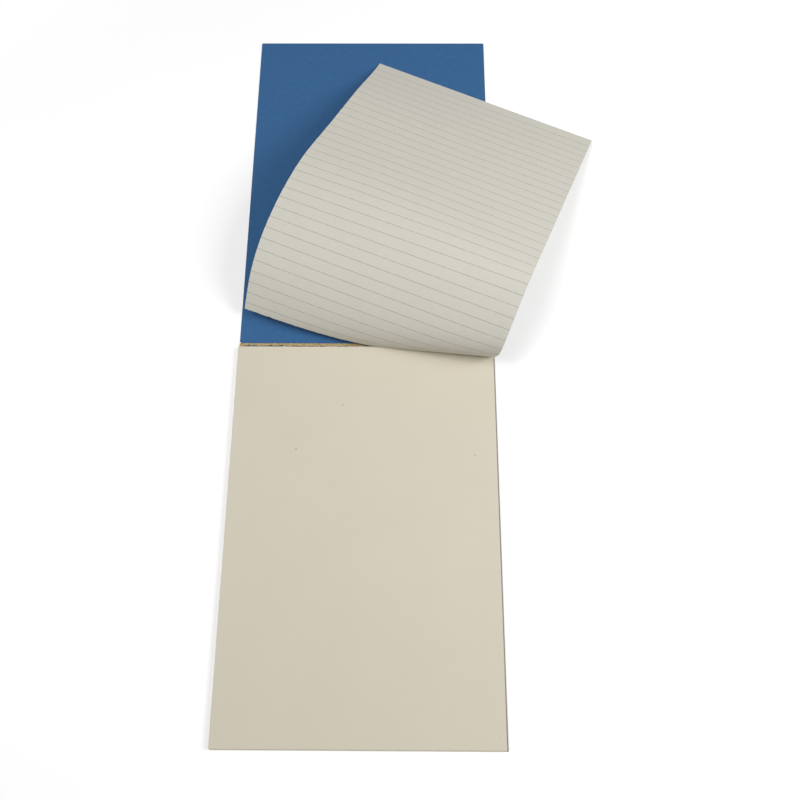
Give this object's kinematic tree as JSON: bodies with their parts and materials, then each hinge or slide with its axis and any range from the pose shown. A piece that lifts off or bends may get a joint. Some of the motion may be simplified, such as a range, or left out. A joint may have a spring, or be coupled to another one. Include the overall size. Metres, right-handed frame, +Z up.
{
  "type": "writing pad",
  "caption": "Head-glued writing pad lying open: blue card cover folded back, plain cream pages, and a feint ruled sheet half torn from the head and arched over the cover.",
  "frame": {"origin": "middle of the back cover's underside, under the pages", "axes": "+X to the right along the head, +Y from the foot to the head and on over the folded-back cover, +Z up from the table"},
  "size_m": [0.2141, 0.4258, 0.0465],
  "materials": {
    "pages": "plain cream writing paper, matte",
    "cover_card": "matte blue card, slightly mottled",
    "glue": "dried amber padding glue",
    "torn_paper": "torn blue-grey paper fibres with glue",
    "ruled_paper": "thin off-white paper with feint grey-olive ruling"
  },
  "bodies": {
    "pad": {"page_block": "pages", "back_cover": "cover_card", "head_glue": "glue", "spine_glue": "glue", "torn_remnants": "torn_paper", "ruled_sheet": "ruled_paper"},
    "cover": {"front_cover": "cover_card"}
  },
  "joints": [
    {"name": "cover_hinge", "type": "hinge", "parent": "pad", "child": "cover", "pos_m": [0, 0.10835, 0], "axis": [1, 0, 0], "range_deg": [-175, 0]}
  ]
}
